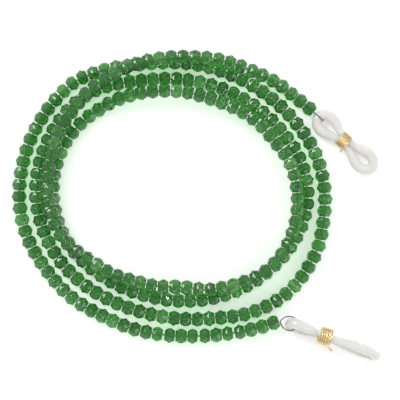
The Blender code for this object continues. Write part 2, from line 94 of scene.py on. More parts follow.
# ---- the strand -------------------------------------------------------------------------------
# winding angle in degrees, radius, height above a bead's resting height
LAY = (
    # the first turn climbs onto the others, crosses them inwards and runs along the inner edge
    (32.4, 42.0, 0.0), (40, 40.4, 0.2), (50, 39.0, 1.9), (60, 37.8, 3.4), (70, 37.0, 4.0),
    (80, 36.1, 4.2), (95, 35.4, 4.3), (110, 35.0, 4.4), (130, 34.4, 4.2), (150, 33.6, 4.0),
    (170, 32.8, 4.2), (190, 31.6, 4.4), (200, 30.6, 4.4), (210, 28.9, 4.3), (220, 27.0, 4.1),
    (230, 26.0, 3.9), (240, 25.0, 3.4), (250, 24.2, 3.1), (260, 24.0, 3.1), (270, 23.7, 3.2),
    (280, 24.4, 3.3), (290, 26.1, 3.6), (300, 27.5, 4.0), (310, 29.2, 4.3), (320, 31.0, 4.4),
    (330, 32.0, 4.4), (345, 32.5, 4.1),
    # the second comes down to the table between 460 and 500 degrees
    (360, 32.3, 3.4), (375, 31.5, 3.2), (390, 29.6, 3.2), (400, 29.0, 3.2), (410, 28.1, 3.1),
    (420, 27.2, 3.1), (432, 26.7, 3.1), (445, 26.9, 3.1), (460, 27.3, 3.1), (470, 28.0, 2.5),
    (480, 28.7, 1.5), (490, 29.3, 0.5), (500, 30.2, 0.0), (515, 31.2, 0.0), (530, 31.4, 0.0),
    (545, 31.1, 0.0), (560, 30.4, 0.0), (575, 29.1, 0.0), (590, 27.9, 0.0), (605, 27.2, 0.0),
    (620, 27.1, 0.0), (635, 27.6, 0.0), (650, 28.6, 0.0), (665, 30.0, 0.0), (680, 31.5, 0.0),
    (695, 33.2, 0.0), (710, 34.6, 0.0),
    # the third lies outside the second
    (720, 35.0, 0.0), (735, 34.3, 0.0), (750, 33.0, 0.0), (765, 31.9, 0.0), (780, 30.7, 0.0),
    (795, 30.1, 0.0), (810, 30.2, 0.0), (820, 30.5, 0.0), (830, 31.2, 0.0), (840, 33.0, 0.0),
    (850, 34.3, 0.0), (860, 35.0, 0.0), (880, 35.6, 0.0), (900, 35.6, 0.0), (915, 34.9, 0.0),
    (930, 34.0, 0.0), (945, 32.8, 0.0), (960, 31.8, 0.0), (975, 31.5, 0.0), (990, 32.0, 0.0),
    (1000, 32.8, 0.0), (1010, 34.0, 0.0), (1020, 36.0, 0.0), (1030, 37.8, 0.0),
    (1040, 39.2, 0.0), (1050, 39.8, 0.0), (1060, 40.1, 0.0), (1070, 39.7, 0.0),
    # the last is outside the third, and its end lifts off the table
    (1080, 39.5, 0.0), (1090, 39.0, 0.0), (1100, 38.2, 0.0), (1110, 36.9, 0.0),
    (1120, 36.0, 0.0), (1130, 35.3, 0.0), (1145, 34.7, 0.0), (1160, 34.5, 0.0),
    (1170, 34.5, 0.0), (1180, 34.8, 0.0), (1190, 35.6, 0.0), (1200, 37.1, 0.0),
    (1210, 38.9, 0.0), (1221, 39.3, 0.0), (1240, 39.6, 0.0), (1260, 40.0, 0.0),
    (1275, 39.5, 0.0), (1290, 38.3, 0.0), (1305, 37.5, 0.0), (1320, 36.4, 0.0),
    (1335, 36.3, 0.0), (1345, 36.4, 0.0), (1357, 37.0, 0.0), (1370, 38.5, 0.3),
    (1380, 40.4, 0.9), (1388.2, 42.2, 1.4),
)
LAY_SAMPLES = 1100
TURN_SPACING = 2 * BEAD_R + 0.10  # least distance between turns
RELAX_ROUNDS = 460
FINAL_ROUNDS = 60  # the last rounds, with light fairing
PAIR_ROUNDS = 10  # rounds between searches for nearby turns
PAIR_MARGIN = 1.2  # how much further than TURN_SPACING the search looks
PUSH = 1.3  # over-relaxation of the push between turns
FAIRING, FINAL_FAIRING = 0.25, 0.05
PULL_BACK = 0.02  # share of the way back to the drawn lay, each round
TANGENT_HALF = 0.8  # half the chord a tangent is taken over


def smooth_stations(table, count):
    """Evenly spaced angles, with radius and centre height on a cubic through the stations."""
    stations = np.array(table, float)
    knots, values = stations[:, 0], stations[:, 1:]
    angles = np.linspace(knots[0], knots[-1], count)
    widths = np.diff(knots)
    chords = np.diff(values, axis=0) / widths[:, None]
    slopes = np.zeros_like(values)
    slopes[1:-1] = (
        chords[1:] * widths[:-1, None] + chords[:-1] * widths[1:, None]
    ) / (knots[2:] - knots[:-2])[:, None]
    slopes[0], slopes[-1] = chords[0], chords[-1]
    span = np.clip(np.searchsorted(knots, angles, side="right") - 1, 0, len(knots) - 2)
    part = ((angles - knots[span]) / widths[span])[:, None]
    width = widths[span][:, None]
    smooth = (
        (2 * part**3 - 3 * part**2 + 1) * values[span]
        + (part**3 - 2 * part**2 + part) * width * slopes[span]
        + (-2 * part**3 + 3 * part**2) * values[span + 1]
        + (part**3 - part**2) * width * slopes[span + 1]
    )
    return angles, smooth[:, 0], smooth[:, 1] + GROUND


def lay_down():
    """The drawn lay, relaxed until its turns rest beside and on each other, not inside."""
    angles, radii, heights = smooth_stations(LAY, LAY_SAMPLES)
    turned = np.radians(angles)
    path = np.stack([radii * np.cos(turned), radii * np.sin(turned), heights], 1)
    drawn = path.copy()
    other_turn = np.abs(angles[:, None] - angles[None, :]) > 180.0
    for step in range(RELAX_ROUNDS):
        if step % PAIR_ROUNDS == 0:
            distances = np.linalg.norm(path[:, None] - path[None], axis=2)
            one, two = np.nonzero((distances < TURN_SPACING + PAIR_MARGIN) & other_turn)
            keep = one < two
            one, two = one[keep], two[keep]
        apart = path[one] - path[two]
        distance = np.linalg.norm(apart, axis=1)
        hit = distance < TURN_SPACING
        if hit.any():
            overlap = (TURN_SPACING - distance[hit])[:, None]
            push = 0.5 * overlap * apart[hit] / np.maximum(distance[hit], 1e-6)[:, None]
            total, count = np.zeros_like(path), np.zeros(len(path))
            np.add.at(total, one[hit], push)
            np.add.at(total, two[hit], -push)
            np.add.at(count, one[hit], 1)
            np.add.at(count, two[hit], 1)
            path += PUSH * total / np.maximum(count, 1)[:, None]
        bend = np.zeros_like(path)
        bend[1:-1] = (path[2:] + path[:-2]) / 2 - path[1:-1]
        unfair = np.zeros_like(path)
        unfair[1:-1] = (bend[2:] + bend[:-2]) / 2 - bend[1:-1]
        fairing = FAIRING if step < RELAX_ROUNDS - FINAL_ROUNDS else FINAL_FAIRING
        path[2:-2] -= fairing * unfair[2:-2]
        path += PULL_BACK * (drawn - path)
        path[:, 2] = np.maximum(path[:, 2], GROUND)
    return path


class Strand:
    """The bead centre-line, addressed by distance along it."""

    def __init__(self, points):
        self.points = points
        steps = np.linalg.norm(np.diff(points, axis=0), axis=1)
        self.travel = np.concatenate([[0.0], np.cumsum(steps)])
        self.length = float(self.travel[-1])

    def at(self, distance):
        return np.array([np.interp(distance, self.travel, self.points[:, i]) for i in range(3)])

    def tangent(self, distance):
        start = max(distance - TANGENT_HALF, 0.0)
        stop = min(distance + TANGENT_HALF, self.length)
        chord = self.at(stop) - self.at(start)
        return chord / np.linalg.norm(chord)


def unit(vector):
    vector = np.array(vector, float)
    return vector / np.linalg.norm(vector)


def joint_at(name):
    return np.array(JOINTS[name]["pos_m"]) / MM


drawn_strand = Strand(lay_down())
BEADS = round(drawn_strand.length / BEAD_PITCH) + 1
SPACING = drawn_strand.length / (BEADS - 1)

# bead numbers run from end a (0) to end b; each end bead is a body of its own
COIL_FIRST = 1 + LINKS * LINK_BEADS_A
COIL_LAST = BEADS - 2 - LINKS * LINK_BEADS_B
# the first bead after each hinge, from the coil outwards
HINGES_A = [COIL_FIRST - i * LINK_BEADS_A for i in range(LINKS)]
HINGES_B = [COIL_LAST + 1 + i * LINK_BEADS_B for i in range(LINKS)]
HINGES = set(HINGES_A + HINGES_B)
END_SPINS = {0: "end_bead_a_spin", BEADS - 1: "end_bead_b_spin"}


def gap_before(bead):
    """Distance along the strand to the middle of the gap before a bead."""
    return (bead - 0.5) * SPACING


# the coil is moved so that its first hinge stands on the frame's
SHIFT = joint_at("tail_a_bend_1") - drawn_strand.at(gap_before(COIL_FIRST))
strand = Strand(drawn_strand.points + SHIFT)


# ---- mesh helpers -----------------------------------------------------------------------------
def piece(name, verts, faces, material, smooth=True):
    mesh = bpy.data.meshes.new(name)
    points = [tuple(v) for v in np.asarray(verts, float) * MM]
    mesh.from_pydata(points, [], [tuple(face) for face in faces])
    bm = bmesh.new()
    bm.from_mesh(mesh)
    bmesh.ops.recalc_face_normals(bm, faces=bm.faces)
    bm.to_mesh(mesh)
    bm.free()
    mesh.polygons.foreach_set("use_smooth", [smooth] * len(mesh.polygons))
    mesh.materials.append(material)
    ob = bpy.data.objects.new(name, mesh)
    bpy.context.scene.collection.objects.link(ob)
    return ob


def mount(ob, body, node):
    """Fix a piece to one body of the frame, in place of a CAD piece."""
    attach(ob, body)
    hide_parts(node)


def corner_angles(corners):
    return 2 * math.pi * np.arange(corners) / corners


def round_sections(radius, stations, corners=12):
    angles = corner_angles(corners)
    circle = radius * np.stack([np.cos(angles), np.sin(angles)], 1)
    return np.tile(circle, (stations, 1, 1))


def section_offsets(sections, side, up):
    return sections[:, :, :1] * side[:, None] + sections[:, :, 1:] * up[:, None]


def skin(rings, corners, closed):
    """Quads between successive rings of vertices."""
    faces = []
    for i in range(rings if closed else rings - 1):
        here, there = i * corners, (i + 1) % rings * corners
        for k in range(corners):
            k1 = (k + 1) % corners
            faces.append((here + k, here + k1, there + k1, there + k))
    return faces


def closed_bar(path, sections, normal):
    """A ring-shaped bar in a plane.  sections is (stations, corners, 2), in the square axes."""
    along = np.roll(path, -1, 0) - np.roll(path, 1, 0)
    along /= np.linalg.norm(along, axis=1)[:, None]
    up = np.tile(unit(normal), (len(path), 1))
    side = np.cross(up, along)
    side /= np.linalg.norm(side, axis=1)[:, None]
    rings = path[:, None] + section_offsets(sections, side, up)
    return np.concatenate(rings), skin(len(path), sections.shape[1], closed=True)


def open_bar(path, sections, dome=0.0):
    """A bar whose section turns as little as it can.  dome is the height of the rounded ends
    as a share of the section's radius; 0 makes flat ends."""
    along = np.gradient(path, axis=0)
    along /= np.linalg.norm(along, axis=1)[:, None]
    first = np.cross([0.0, 0.0, 1.0], along[0])
    if np.linalg.norm(first) < 0.2:  # the bar starts nearly upright
        first = np.cross([1.0, 0.0, 0.0], along[0])
    side = np.zeros_like(along)
    side[0] = unit(first)
    for i in range(1, len(along)):
        side[i] = unit(side[i - 1] - (side[i - 1] @ along[i]) * along[i])
    offsets = section_offsets(sections, side, np.cross(along, side))
    rings = list(path[:, None] + offsets)
    corners = sections.shape[1]

    def dome_end(end, sign):
        height = np.linalg.norm(sections[end], axis=1).max() * dome
        made = []
        for degrees in (35, 65):
            angle = math.radians(degrees)
            lift = sign * math.sin(angle) * height * along[end]
            made.append(path[end] + lift + math.cos(angle) * offsets[end])
        return made, path[end] + sign * height * along[end]

    if dome:
        start_rings, start_tip = dome_end(0, -1)
        stop_rings, stop_tip = dome_end(-1, 1)
        rings = start_rings[::-1] + rings + stop_rings
    verts = np.concatenate(rings)
    faces = skin(len(rings), corners, closed=False)
    last = (len(rings) - 1) * corners
    if dome:
        tip = len(verts)
        verts = np.vstack([verts, start_tip, stop_tip])
        faces += [(tip, (k + 1) % corners, k) for k in range(corners)]
        faces += [(tip + 1, last + k, last + (k + 1) % corners) for k in range(corners)]
    else:
        faces += [tuple(range(corners))[::-1], tuple(last + k for k in range(corners))]
    return verts, faces


def smooth_ring(outline, per_span):
    """A closed Catmull-Rom curve through half an outline and its mirror image in y = 0.
    The outline starts and ends on y = 0; columns after x, y are carried along."""
    mirror = [(x, -y, *rest) for x, y, *rest in reversed(outline[1:-1])]
    ring = np.array(list(outline) + mirror, float)
    count = len(ring)
    made = []
    for i in range(count):
        before, start = ring[i - 1], ring[i]
        stop, after = ring[(i + 1) % count], ring[(i + 2) % count]
        for j in range(per_span):
            part = j / per_span
            made.append(0.5 * (
                2 * start + (stop - before) * part
                + (2 * before - 5 * start + 4 * stop - after) * part * part
                + (3 * start - before - 3 * stop + after) * part**3
            ))
    return np.array(made)


class LocalAxes:
    """Axes at an origin: yawed about z, x dipped by the pitch, then rolled about x (radians)."""

    def __init__(self, origin, yaw, pitch, roll=0.0):
        level = np.array([-math.sin(yaw), math.cos(yaw), 0.0])
        self.x = np.array([
            math.cos(yaw) * math.cos(pitch), math.sin(yaw) * math.cos(pitch), -math.sin(pitch)
        ])
        self.y = math.cos(roll) * level + math.sin(roll) * np.cross(self.x, level)
        self.z = np.cross(self.x, self.y)
        self.origin = origin

    def place(self, local):
        return self.origin + local @ np.array([self.x, self.y, self.z])

    def place_flat(self, xy):
        return self.place(np.c_[xy, np.zeros(len(xy))])


# ---- materials --------------------------------------------------------------------------------
class Graph:
    """A new material and short ways to add its nodes."""

    def __init__(self, name):
        self.material = bpy.data.materials.new(name)
        self.material.use_nodes = True
        self.tree = self.material.node_tree
        self.tree.nodes.clear()
        self.out = self.tree.nodes.new("ShaderNodeOutputMaterial")

    def node(self, kind, inputs=None, **props):
        made = self.tree.nodes.new(kind)
        for key, value in props.items():
            setattr(made, key, value)
        for key, value in (inputs or {}).items():
            self.put(made.inputs[key], value)
        return made

    def put(self, socket, value):
        if isinstance(value, bpy.types.NodeSocket):
            self.tree.links.new(value, socket)
        else:
            socket.default_value = value

    def place(self):
        return self.node("ShaderNodeTexCoord").outputs["Object"]

    def noise(self, scale, detail=3.0, roughness=0.5, distortion=0.0):
        return self.node("ShaderNodeTexNoise", {
            "Vector": self.place(), "Scale": scale, "Detail": detail,
            "Roughness": roughness, "Distortion": distortion}).outputs["Fac"]

    def remap(self, value, to, source=(0.0, 1.0)):
        return self.node("ShaderNodeMapRange", {
            "Value": value, "From Min": source[0], "From Max": source[1],
            "To Min": to[0], "To Max": to[1]}).outputs["Result"]

    def ramp(self, value, stops):
        """stops are (position, (red, green, blue))."""
        made = self.node("ShaderNodeValToRGB", {"Fac": value})
        elements = made.color_ramp.elements
        while len(elements) < len(stops):
            elements.new(0.5)
        for element, (position, colour) in zip(elements, stops):
            element.position, element.color = position, (*colour, 1.0)
        return made.outputs["Color"]

    def mix(self, factor, base, over):
        # inputs 0, 6 and 7 are the factor and the two colours
        inputs = {0: factor, 6: base, 7: over}
        return self.node("ShaderNodeMix", inputs, data_type="RGBA").outputs[2]

    def bump(self, height, strength, distance):
        return self.node("ShaderNodeBump", {
            "Height": height, "Strength": strength, "Distance": distance}).outputs["Normal"]

    def principled(self, inputs):
        return self.node("ShaderNodeBsdfPrincipled", inputs).outputs[0]

    def finish(self, surface):
        self.put(self.out.inputs["Surface"], surface)
        return self.material


def cut_glass():
    """Green glass: each bead has its own tint and darker striae, and painted shade darkens it
    where its faces are seen edge-on.
    """
    g = Graph("green_cut_glass")
    each = g.node("ShaderNodeNewGeometry").outputs["Random Per Island"]
    tint = g.ramp(each, (
        (0.0, (0.11, 0.39, 0.10)), (0.45, (0.16, 0.48, 0.14)),
        (0.8, (0.25, 0.58, 0.22)), (1.0, (0.40, 0.72, 0.36)),
    ))
    striae = g.noise(scale=420.0, detail=2.0, roughness=0.45, distortion=0.6)
    striae_share = g.remap(striae, to=(0.0, 0.35), source=(0.45, 0.75))
    tint = g.mix(striae_share, tint, over=(0.10, 0.34, 0.08, 1.0))
    # painted shade: faces seen edge-on, at the beads' sides and in the slits between beads, are
    # mixed towards a near-black green
    rim = g.node("ShaderNodeLayerWeight", {"Blend": 0.5}).outputs["Facing"]
    painted_rim_shade = g.remap(rim, to=(0.0, 0.75), source=(0.45, 0.95))
    tint = g.mix(painted_rim_shade, tint, over=(0.03, 0.18, 0.025, 1.0))
    polish = g.noise(scale=2600.0, detail=2.0)
    body = g.principled({
        "Base Color": tint,
        "Roughness": g.remap(polish, to=(0.0, 0.06), source=(0.35, 0.75)),
        "IOR": 1.54,
        "Transmission Weight": 0.86,
        "Normal": g.bump(polish, strength=0.10, distance=0.00002),
    })
    # shadow rays pass almost unhindered; the absorption still colours them
    through = g.node("ShaderNodeBsdfTransparent", {"Color": (0.95, 0.96, 0.95, 1.0)}).outputs[0]
    shadow = g.node("ShaderNodeLightPath").outputs["Is Shadow Ray"]
    both = g.node("ShaderNodeMixShader", {0: shadow, 1: body, 2: through})
    absorb = g.node("ShaderNodeVolumeAbsorption",
                    {"Color": (0.10, 0.66, 0.09, 1.0), "Density": 430.0})
    g.put(g.out.inputs["Volume"], absorb.outputs[0])
    return g.finish(both.outputs[0])


def clear_rubber():
    """Cloudy, slightly glossy translucent rubber."""
    g = Graph("translucent_rubber")
    cloud = g.noise(scale=260.0, detail=4.0, roughness=0.55, distortion=0.8)
    fine = g.noise(scale=3800.0)
    return g.finish(g.principled({
        "Base Color": g.ramp(cloud, (
            (0.30, (0.80, 0.785, 0.75)), (0.55, (0.86, 0.85, 0.815)), (0.8, (0.91, 0.90, 0.87)),
        )),
        "Roughness": g.remap(fine, to=(0.14, 0.30), source=(0.3, 0.7)),
        "IOR": 1.43,
        "Transmission Weight": 0.14,
        "Subsurface Weight": 0.55,
        "Subsurface Radius": (1.0, 1.0, 1.0),
        "Subsurface Scale": 0.0022,
        "Coat Weight": 0.45,
        "Coat Roughness": 0.10,
        "Normal": g.bump(fine, strength=0.06, distance=0.00002),
    }))


def wire_metal(name, bright, dull, polished, rough):
    """Drawn wire; polished and rough are the roughness of its bright and dull spots."""
    g = Graph(name)
    spots = g.noise(scale=2400.0)
    drawn = g.node("ShaderNodeTexWave", {
        "Vector": g.place(), "Scale": 4200.0, "Distortion": 6.0, "Detail": 2.0,
        "Detail Scale": 2.0}, wave_type="BANDS", bands_direction="DIAGONAL").outputs["Fac"]
    return g.finish(g.principled({
        "Base Color": g.ramp(spots, ((0.30, dull), (0.62, bright))),
        "Metallic": 1.0,
        "Roughness": g.remap(spots, to=(rough, polished), source=(0.3, 0.7)),
        "Normal": g.bump(drawn, strength=0.15, distance=0.00001),
    }))


def twisted_thread():
    g = Graph("dark_twisted_cord")
    fibre = g.noise(scale=5200.0, roughness=0.6)
    tone = g.noise(scale=300.0, detail=2.0)
    return g.finish(g.principled({
        "Base Color": g.ramp(tone, ((0.3, (0.16, 0.30, 0.15)), (0.7, (0.26, 0.42, 0.24)))),
        "Roughness": g.remap(fibre, to=(0.45, 0.75)),
        "Sheen Weight": 0.2,
        "Normal": g.bump(fibre, strength=0.5, distance=0.00003),
    }))


def pale_floor():
    """Matt near-white, glowing a little to lift the shadows."""
    g = Graph("pale_floor")
    grain = g.noise(scale=70.0)
    return g.finish(g.principled({
        "Base Color": g.ramp(grain, ((0.2, (0.90, 0.90, 0.90)), (0.8, (0.93, 0.93, 0.93)))),
        "Roughness": 0.85,
        "Specular IOR Level": 0.1,
        "Emission Color": (1.0, 1.0, 1.0, 1.0),
        "Emission Strength": 0.28,
        "Normal": g.bump(grain, strength=0.05, distance=0.0001),
    }))


glass = cut_glass()
rubber = clear_rubber()
gold = wire_metal("gold_wire", bright=(0.90, 0.70, 0.32), dull=(0.66, 0.46, 0.16),
                  polished=0.14, rough=0.30)
silver = wire_metal("dark_silver_wire", bright=(0.34, 0.33, 0.33), dull=(0.17, 0.16, 0.16),
                    polished=0.18, rough=0.34)
thread = twisted_thread()


# ---- the cut rondelles ------------------------------------------------------------------------
TEMPLATE_HALF = 1.45  # half height at which the edges are worn
WEAR = 0.030  # width of the worn edges
WORN_ANGLE = math.radians(6)  # edges sharper than this are worn
WORN_FROM_R = 0.8  # edges wholly inside this radius, at the bore, stay sharp


def level_ring(radius, phase, count, height):
    step = 2 * math.pi / count
    return [(radius * math.cos(phase + k * step), radius * math.sin(phase + k * step), height)
            for k in range(count)]


def rondelle_shell():
    """Vertices and triangles of a sharp rondelle about z, half height 1."""
    sides = BEAD_SIDES
    half_step = math.pi / sides
    verts = []
    for sign in (1, -1):
        verts += level_ring(FACE_R, half_step, sides, sign * 1.0)
        verts += level_ring(CROWN_R, 0.0, sides, sign * CROWN_HEIGHT)
        verts += level_ring(BORE_R, half_step, 2 * sides, sign * 1.0)
    girdle = len(verts)
    verts += level_ring(BEAD_R, half_step, sides, 0.0)
    faces = []
    for table in (0, 4 * sides):
        crown, bore = table + sides, table + 2 * sides
        for k in range(sides):
            after, before = (k + 1) % sides, (k - 1) % sides
            mid, far = bore + (2 * k + 1) % (2 * sides), bore + (2 * k + 2) % (2 * sides)
            faces += [
                # between the table and the crown corners
                (crown + k, table + before, table + k),
                (crown + k, table + k, crown + after),
                # between the crown corners and the girdle
                (girdle + before, crown + k, girdle + k),
                (crown + k, girdle + k, crown + after),
                # the table round the bore
                (table + k, bore + 2 * k, mid),
                (table + k, mid, table + after),
                (table + after, mid, far),
            ]
    top, bottom = 2 * sides, 6 * sides
    for k in range(2 * sides):
        after = (k + 1) % (2 * sides)
        faces.append((top + k, top + after, bottom + after, bottom + k))
    return verts, faces


def rondelle_template():
    """The rondelle with flat facets merged and edges slightly worn, half height 1."""
    shell, faces = rondelle_shell()
    mesh = bpy.data.meshes.new("template")
    mesh.from_pydata([(x, y, z * TEMPLATE_HALF) for x, y, z in shell], [], faces)
    bm = bmesh.new()
    bm.from_mesh(mesh)
    bmesh.ops.recalc_face_normals(bm, faces=bm.faces)
    bmesh.ops.dissolve_limit(bm, angle_limit=math.radians(1.0), verts=bm.verts, edges=bm.edges)
    worn = [
        edge for edge in bm.edges
        if edge.calc_face_angle(0.0) > WORN_ANGLE
        and max(math.hypot(v.co.x, v.co.y) for v in edge.verts) > WORN_FROM_R
    ]
    bmesh.ops.bevel(bm, geom=worn, offset=WEAR, offset_type="OFFSET", segments=1,
                    affect="EDGES", profile=0.5, clamp_overlap=True)
    bm.verts.index_update()
    verts = np.array([tuple(v.co) for v in bm.verts])
    verts[:, 2] /= TEMPLATE_HALF
    faces = [tuple(v.index for v in face.verts) for face in bm.faces]
    bm.free()
    bpy.data.meshes.remove(mesh)
    return verts, faces


TEMPLATE, TEMPLATE_FACES = rondelle_template()
# each bead's turn about the cord, girth and lean
rng = np.random.default_rng(20)
TURN = rng.uniform(-math.pi / BEAD_SIDES, math.pi / BEAD_SIDES, BEADS)
GIRTH = 1.0 - rng.uniform(0.0, 0.022, BEADS)
MOST_TILT = math.radians(2.2)
TILT = rng.normal(0.0, math.radians(1.2), (BEADS, 2)).clip(-MOST_TILT, MOST_TILT)


def strung_pose(bead):
    """Direction, centre and half height of a bead on the strand, clear of its neighbours."""
    along = strand.tangent(bead * SPACING)
    centre = strand.at(bead * SPACING)
    half = BEAD_HALF
    for other in (bead - 1, bead + 1):
        turn = math.acos(min(1.0, float(along @ strand.tangent(other * SPACING))))
        half = min(half, SPACING / 2 - BEAD_CLEARANCE - FACE_R * math.tan(turn / 2))
    away = (bead in HINGES) - (bead + 1 in HINGES)
    if away:
        half = min(half, BEAD_HALF_AT_HINGE)
        centre = centre + away * HINGE_SHIFT * along
    return along, centre, half


def bead_verts(bead):
    if bead in END_SPINS:
        spin = END_SPINS[bead]
        along, centre, half = np.array(JOINTS[spin]["axis"]), joint_at(spin), BEAD_HALF_AT_END
        turn, tilt = 0.0, (0, 0)
    else:
        along, centre, half = strung_pose(bead)
        turn, tilt = TURN[bead], TILT[bead]
    side = unit(np.cross([0.0, 0.0, 1.0], along))
    up = np.cross(along, side)
    half -= FACE_R * math.hypot(*tilt) * 0.5
    axis = unit(along + tilt[0] * side + tilt[1] * up)
    side = unit(np.cross(np.cross(axis, side), axis))
    up = np.cross(axis, side)
    x = math.cos(turn) * side + math.sin(turn) * up
    y = -math.sin(turn) * side + math.cos(turn) * up
    sized = TEMPLATE * np.array([GIRTH[bead], GIRTH[bead], half])
    verts = sized[:, :1] * x + sized[:, 1:2] * y + sized[:, 2:] * axis
    low = float(verts[:, 2].min() + centre[2])
    if low < TABLE_CLEARANCE:
        centre = centre + np.array([0.0, 0.0, TABLE_CLEARANCE - low])
    return verts + centre


def string_of_beads(name, first, stop, body, node):
    """Beads first to stop - 1 as one piece."""
    verts = np.concatenate([bead_verts(bead) for bead in range(first, stop)])
    faces = [tuple(index + i * len(TEMPLATE) for index in face)
             for i in range(stop - first) for face in TEMPLATE_FACES]
    mount(piece(name, verts, faces, glass, smooth=False), body, node)


def build_beads():
    coil_beads = COIL_LAST + 1 - COIL_FIRST
    edges = [COIL_FIRST + round(coil_beads * i / COIL_RUNS) for i in range(COIL_RUNS + 1)]
    for i in range(COIL_RUNS):
        string_of_beads(f"glass_beads_coil_{i + 1:02d}", edges[i], edges[i + 1],
                        "coil", f"bead_run_{i + 1:02d}")
    for i in range(LINKS):
        starts = {"a": (HINGES_A[i] - LINK_BEADS_A, HINGES_A[i]),
                  "b": (HINGES_B[i], HINGES_B[i] + LINK_BEADS_B)}
        for end, (first, stop) in starts.items():
            string_of_beads(f"glass_beads_tail_{end}_{i + 1}", first, stop,
                            f"tail_{end}_{i + 1}", f"tail_{end}_beads_{i + 1}")
    string_of_beads("glass_last_bead_a", 0, 1, "end_bead_a", "end_bead_a")
    string_of_beads("glass_last_bead_b", BEADS - 1, BEADS, "end_bead_b", "end_bead_b")


# ---- the cord: three twisted plies ------------------------------------------------------------
def cord_run(name, start, stop):
    count = max(5, round((stop - start) / 0.28))
    stations = np.linspace(start, stop, count)
    path = np.array([strand.at(station) for station in stations])
    angles = corner_angles(10)
    twist = 2 * math.pi * stations[:, None] / PLY_PITCH / 3
    radii = CORD_R * (0.90 + 0.10 * np.cos(3 * (angles - twist)))
    sections = np.stack([radii * np.cos(angles), radii * np.sin(angles)], 2)
    return piece(name, *open_bar(path, sections), thread)


def cord(name, start, stop, body, node):
    mount(cord_run(name, start, stop), body, node)


def cord_bend(name, hinge):
    """The cord across a hinge, following the strand as laid; it is fixed to no body."""
    bend = cord_run(name, hinge - BEND_REACH, hinge + BEND_REACH)
    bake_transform(bend)


def build_cord():
    cord("cord_through_coil", gap_before(COIL_FIRST) + BEND_REACH,
         gap_before(COIL_LAST + 1) - BEND_REACH, "coil", "cord_coil")
    for i in range(LINKS):
        outermost = i == LINKS - 1

        hinge = gap_before(HINGES_A[i])
        outer = gap_before(HINGES_A[i] - LINK_BEADS_A) + BEND_REACH
        body, inner_body = f"tail_a_{i + 1}", f"tail_a_{i}" if i else "coil"
        cord(f"cord_{body}", CORD_END_INSET if outermost else outer, hinge - BEND_REACH,
             body, f"tail_a_cord_{i + 1}")
        cord_bend(f"cord_bend_a_{i + 1}", hinge)

        hinge = gap_before(HINGES_B[i])
        outer = gap_before(HINGES_B[i] + LINK_BEADS_B) - BEND_REACH
        body, inner_body = f"tail_b_{i + 1}", f"tail_b_{i}" if i else "coil"
        cord(f"cord_{body}", hinge + BEND_REACH,
             strand.length - CORD_END_INSET if outermost else outer,
             body, f"tail_b_cord_{i + 1}")
        cord_bend(f"cord_bend_b_{i + 1}", hinge)


# ---- crimps: a tube pressed flat in two places ------------------------------------------------
CRIMP_START, CRIMP_STOP = -0.85, 1.36  # along the end bead's axis, from its centre
CRIMP_R = 0.40
CRIMP_WIDENING, CRIMP_THINNING = 0.045, 0.10  # where it is pressed


def crimp(end):
    spin = f"end_bead_{end}_spin"
    stations = np.linspace(CRIMP_START, CRIMP_STOP, 15)
    path = joint_at(spin) + stations[:, None] * np.array(JOINTS[spin]["axis"])
    part = (stations[:, None] - CRIMP_START) / (CRIMP_STOP - CRIMP_START)
    # presses centred at 0.32 and 0.68 of the length
    pressed = np.exp(-((part - 0.32) / 0.10) ** 2) + np.exp(-((part - 0.68) / 0.10) ** 2)
    angles = corner_angles(20)
    wide = (CRIMP_R + CRIMP_WIDENING * pressed) * np.cos(angles)
    thin = (CRIMP_R - CRIMP_THINNING * pressed) * np.sin(angles)
    bar = open_bar(path, np.stack([wide, thin], 2), dome=0.35)
    mount(piece(f"pressed_crimp_{end}", *bar, silver), f"tail_{end}_3", f"crimp_{end}")


# ---- wire eyes --------------------------------------------------------------------------------
EYE_WIRE_R = 0.17
HINGE_A, HINGE_B = joint_at("loop_a_lift"), joint_at("loop_b_swing")


def wire_eye(end, axes, outline):
    """outline: x from the eye's swing joint towards the rubber loop's, half width y."""
    path = axes.place_flat(smooth_ring(outline, per_span=7))
    bar = closed_bar(path, round_sections(EYE_WIRE_R, len(path)), axes.z)
    mount(piece(f"bent_wire_eye_{end}", *bar, silver), f"eye_{end}", f"wire_eye_{end}")


def build_eyes():
    swing = joint_at("eye_a_swing")
    lead = HINGE_A - swing
    reach = float(np.linalg.norm(lead))
    # stands on edge
    wire_eye("a", LocalAxes(swing, math.atan2(lead[1], lead[0]), 0.0, math.pi / 2), (
        (0.26, 0.00), (0.28, 0.60), (0.52, 1.14), (1.05, 1.46), (reach, 1.55),
        (reach + 0.80, 1.42), (reach + 1.40, 0.92), (reach + 1.60, 0.00),
    ))
    swing = joint_at("eye_b_swing")
    lead = HINGE_B - swing
    reach = float(np.linalg.norm(lead))
    slope = math.atan2(lead[2], math.hypot(lead[0], lead[1]))
    wire_eye("b", LocalAxes(swing, math.atan2(lead[1], lead[0]), -slope), (
        (0.44, 0.00), (0.55, 0.36), (1.00, 0.98), (1.75, 1.56), (reach, 1.84),
        (reach + 0.95, 1.60), (reach + 1.62, 0.98), (reach + 1.86, 0.00),
    ))


